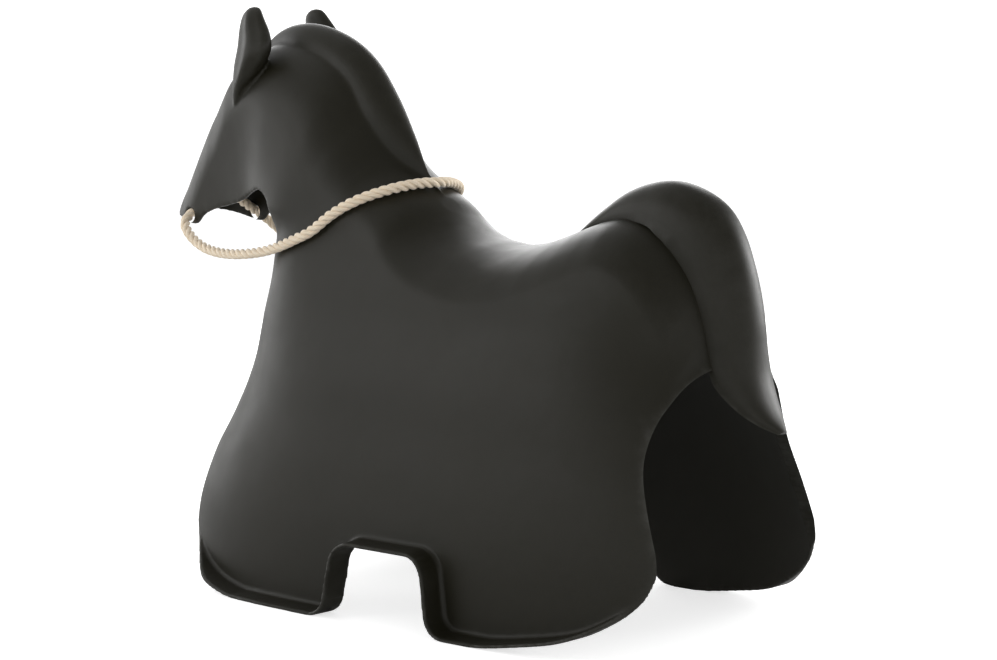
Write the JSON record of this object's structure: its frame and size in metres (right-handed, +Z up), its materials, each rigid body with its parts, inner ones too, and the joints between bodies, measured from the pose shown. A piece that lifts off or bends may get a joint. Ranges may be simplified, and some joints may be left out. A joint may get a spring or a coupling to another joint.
{
  "type": "rocking horse",
  "caption": "Moulded one-piece rocking horse with a hollow body, a curved foot rim, four leg arches and notches, and a twisted rope rein.",
  "frame": {"origin": "on the floor, under the middle of the horse", "axes": "+Z up, the horse faces -X, and Y = 0 is its plane of symmetry"},
  "size_m": [0.8621, 0.4118, 0.6487],
  "materials": {
    "shell": "matte, slightly grained",
    "rope": "twisted three-strand cord"
  },
  "bodies": {
    "root": {"shell": "shell", "rein": "rope", "knot": "rope"}
  },
  "joints": []
}
